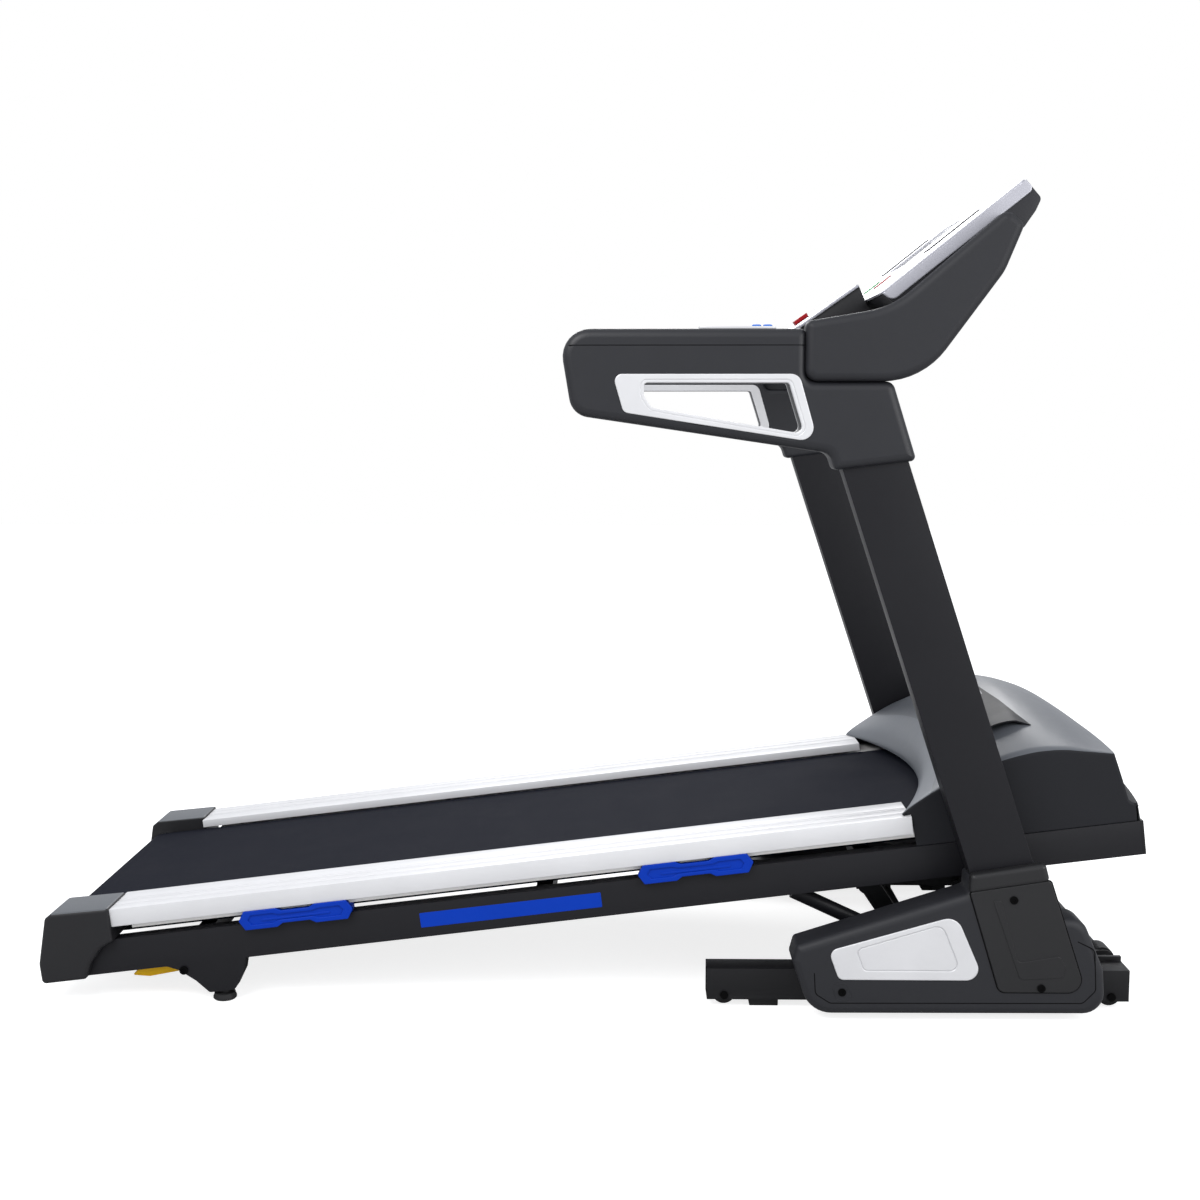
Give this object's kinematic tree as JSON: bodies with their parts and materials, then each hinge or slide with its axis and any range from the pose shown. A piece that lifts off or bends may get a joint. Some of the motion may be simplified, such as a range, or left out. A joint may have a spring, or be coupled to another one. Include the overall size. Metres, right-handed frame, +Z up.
{
  "type": "treadmill",
  "caption": "Folding home treadmill with leaning masts, arms, console, cushioned deck, incline lift and gas strut.",
  "frame": {"origin": "under the middle of the whole, on the floor", "axes": "+X to the front of the machine, +Y to the user's left, +Z up"},
  "size_m": [1.9503, 0.879, 1.3983],
  "materials": {
    "ink": "satin black powder coat",
    "tex": "fine grain black",
    "silver": "pale satin",
    "steel": "plain",
    "blue": "satin",
    "alu": "anodised",
    "beltrubber": "fine weave",
    "board": "laminated white",
    "hood": "satin dark grey",
    "screen": "gloss",
    "red": "satin",
    "green": "satin",
    "yellow": "satin",
    "wheelrubber": "plain"
  },
  "bodies": {
    "base": {"base_frame": "ink", "rest_pads": "wheelrubber", "mast_right": "ink", "mast_left": "ink", "base_cover_right": "tex", "base_cover_left": "tex", "cover_inserts": "silver", "boot_plates": "tex", "cover_screws": "steel", "wheel_bolts": "steel", "arm_shell_right": "tex", "arm_shell_left": "tex", "arm_trims": "silver", "button_pods": "silver", "console_wing_right": "tex", "console_wing_left": "tex", "console_frame": "ink", "console_shell": "tex", "console_bezel": "silver", "console_screen": "screen", "lower_panel": "silver"},
    "deck": {"deck_frame": "ink", "running_board": "board", "running_belt": "beltrubber", "side_rail_right": "alu", "side_rail_left": "alu", "rear_cap_right": "tex", "rear_cap_left": "tex", "deck_cushions": "blue", "roller_bolts": "steel", "drive_motor": "ink", "drive_belt": "beltrubber", "motor_pan": "ink", "motor_hood": "hood", "rear_feet": "wheelrubber"},
    "wheel_rear_right_body": {"wheel_rear_right": "wheelrubber"},
    "wheel_rear_left_body": {"wheel_rear_left": "wheelrubber"},
    "wheel_front_right_body": {"wheel_front_right": "wheelrubber"},
    "wheel_front_left_body": {"wheel_front_left": "wheelrubber"},
    "speed_button_up_body": {"speed_button_up": "blue"},
    "speed_button_down_body": {"speed_button_down": "blue"},
    "incline_button_up_body": {"incline_button_up": "blue"},
    "incline_button_down_body": {"incline_button_down": "blue"},
    "start_key_body": {"start_key": "green"},
    "stop_key_body": {"stop_key": "red"},
    "speed_rocker_body": {"speed_rocker": "tex"},
    "incline_rocker_body": {"incline_rocker": "tex"},
    "safety_key_body": {"safety_key": "red"},
    "fold_yoke_body": {"fold_yoke": "ink", "cylinder_pin": "steel"},
    "lift_frame_body": {"lift_frame": "ink"},
    "cylinder_barrel_body": {"cylinder_barrel": "ink"},
    "cylinder_rod_body": {"cylinder_rod": "steel"},
    "incline_motor_body": {"incline_motor": "ink"},
    "incline_screw_body": {"incline_screw": "steel"},
    "front_roller_body": {"front_roller": "steel"},
    "rear_roller_body": {"rear_roller": "steel"},
    "motor_rotor_body": {"motor_rotor": "steel"},
    "power_switch_body": {"power_switch": "red"},
    "release_lever_body": {"release_lever": "yellow"}
  },
  "joints": [
    {"name": "fold", "type": "hinge", "parent": "base", "child": "fold_yoke_body", "pos_m": [0.8925, 0, 0.058], "axis": [0, 1, 0], "range_deg": [0, 54]},
    {"name": "incline", "type": "hinge", "parent": "fold_yoke_body", "child": "lift_frame_body", "pos_m": [0.8925, 0, 0.058], "axis": [0, 1, 0], "range_deg": [-15.6, 0]},
    {"name": "deck_tilt", "type": "hinge", "parent": "lift_frame_body", "child": "deck", "pos_m": [0.47642, 0, 0.19321], "axis": [0, 1, 0], "range_deg": [0, 21.48]},
    {"name": "cylinder_swing", "type": "hinge", "parent": "fold_yoke_body", "child": "cylinder_barrel_body", "pos_m": [0.6575, -0.298, 0.04], "axis": [0, 1, 0], "range_deg": [-15, 0]},
    {"name": "cylinder_stroke", "type": "slide", "parent": "cylinder_barrel_body", "child": "cylinder_rod_body", "axis": [-0.907, 0, 0.4212], "range_m": [-0.0119, 0]},
    {"name": "actuator_swing", "type": "hinge", "parent": "deck", "child": "incline_motor_body", "pos_m": [0.79236, 0, 0.40055], "axis": [0, 1, 0], "range_deg": [-10.4, 0]},
    {"name": "actuator_stroke", "type": "slide", "parent": "incline_motor_body", "child": "incline_screw_body", "axis": [0.1224, 0, -0.9925], "range_m": [-0.13217, 0]},
    {"name": "wheel_rear_right_spin", "type": "hinge", "parent": "base", "child": "wheel_rear_right_body", "pos_m": [0.2165, -0.341, 0.022], "axis": [0, 1, 0], "continuous": true},
    {"name": "wheel_rear_left_spin", "type": "hinge", "parent": "base", "child": "wheel_rear_left_body", "pos_m": [0.2165, 0.341, 0.022], "axis": [0, 1, 0], "continuous": true},
    {"name": "wheel_front_right_spin", "type": "hinge", "parent": "base", "child": "wheel_front_right_body", "pos_m": [0.8835, -0.341, 0.022], "axis": [0, 1, 0], "continuous": true},
    {"name": "wheel_front_left_spin", "type": "hinge", "parent": "base", "child": "wheel_front_left_body", "pos_m": [0.8835, 0.341, 0.022], "axis": [0, 1, 0], "continuous": true},
    {"name": "front_roller_spin", "type": "hinge", "parent": "deck", "child": "front_roller_body", "pos_m": [0.64377, 0, 0.3066], "axis": [0, 1, 0], "continuous": true},
    {"name": "rear_roller_spin", "type": "hinge", "parent": "deck", "child": "rear_roller_body", "pos_m": [-0.93619, 0, 0.11121], "axis": [0, 1, 0], "continuous": true},
    {"name": "motor_spin", "type": "hinge", "parent": "deck", "child": "motor_rotor_body", "pos_m": [0.78014, 0, 0.34463], "axis": [0, 1, 0], "continuous": true},
    {"name": "speed_button_up_press", "type": "slide", "parent": "base", "child": "speed_button_up_body", "axis": [0, 0, 1], "range_m": [-0.0012, 0], "stiffness_N_per_m": 400, "springref_m": 0.001},
    {"name": "speed_button_down_press", "type": "slide", "parent": "base", "child": "speed_button_down_body", "axis": [0, 0, 1], "range_m": [-0.0012, 0], "stiffness_N_per_m": 400, "springref_m": 0.001},
    {"name": "incline_button_up_press", "type": "slide", "parent": "base", "child": "incline_button_up_body", "axis": [0, 0, 1], "range_m": [-0.0012, 0], "stiffness_N_per_m": 400, "springref_m": 0.001},
    {"name": "incline_button_down_press", "type": "slide", "parent": "base", "child": "incline_button_down_body", "axis": [0, 0, 1], "range_m": [-0.0012, 0], "stiffness_N_per_m": 400, "springref_m": 0.001},
    {"name": "start_key_press", "type": "slide", "parent": "base", "child": "start_key_body", "axis": [-0.6225, 0, 0.7826], "range_m": [-0.001, 0], "stiffness_N_per_m": 400, "springref_m": 0.001},
    {"name": "stop_key_press", "type": "slide", "parent": "base", "child": "stop_key_body", "axis": [-0.6225, 0, 0.7826], "range_m": [-0.001, 0], "stiffness_N_per_m": 400, "springref_m": 0.001},
    {"name": "speed_rocker_tilt", "type": "hinge", "parent": "base", "child": "speed_rocker_body", "pos_m": [0.60504, -0.23, 1.33073], "axis": [0, 1, 0], "range_deg": [-1, 1], "stiffness_Nm_per_rad": 1},
    {"name": "incline_rocker_tilt", "type": "hinge", "parent": "base", "child": "incline_rocker_body", "pos_m": [0.60504, 0.23, 1.33073], "axis": [0, 1, 0], "range_deg": [-1, 1], "stiffness_Nm_per_rad": 1},
    {"name": "safety_key_pull", "type": "slide", "parent": "base", "child": "safety_key_body", "axis": [-0.5736, 0, 0.8192], "range_m": [0, 0.03]},
    {"name": "power_switch_rock", "type": "hinge", "parent": "deck", "child": "power_switch_body", "pos_m": [0.93165, -0.218, 0.30089], "axis": [0, 1, 0], "range_deg": [-5, 0]},
    {"name": "release_lever_pull", "type": "hinge", "parent": "deck", "child": "release_lever_body", "pos_m": [-0.73186, -0.308, 0.05587], "axis": [0, 1, 0], "range_deg": [-12, 0], "stiffness_Nm_per_rad": 3, "springref_deg": 5.73}
  ],
  "couplings": [
    {"joint": "deck_tilt", "follows": "incline", "ratio": -1.376},
    {"joint": "cylinder_swing", "follows": "incline", "ratio": 0.9607},
    {"joint": "cylinder_stroke", "follows": "incline", "m_per_rad": 0.04299},
    {"joint": "actuator_swing", "follows": "incline", "ratio": 0.6662},
    {"joint": "actuator_stroke", "follows": "incline", "m_per_rad": 0.48472},
    {"joint": "rear_roller_spin", "follows": "front_roller_spin", "ratio": 1},
    {"joint": "motor_spin", "follows": "front_roller_spin", "ratio": 2}
  ]
}
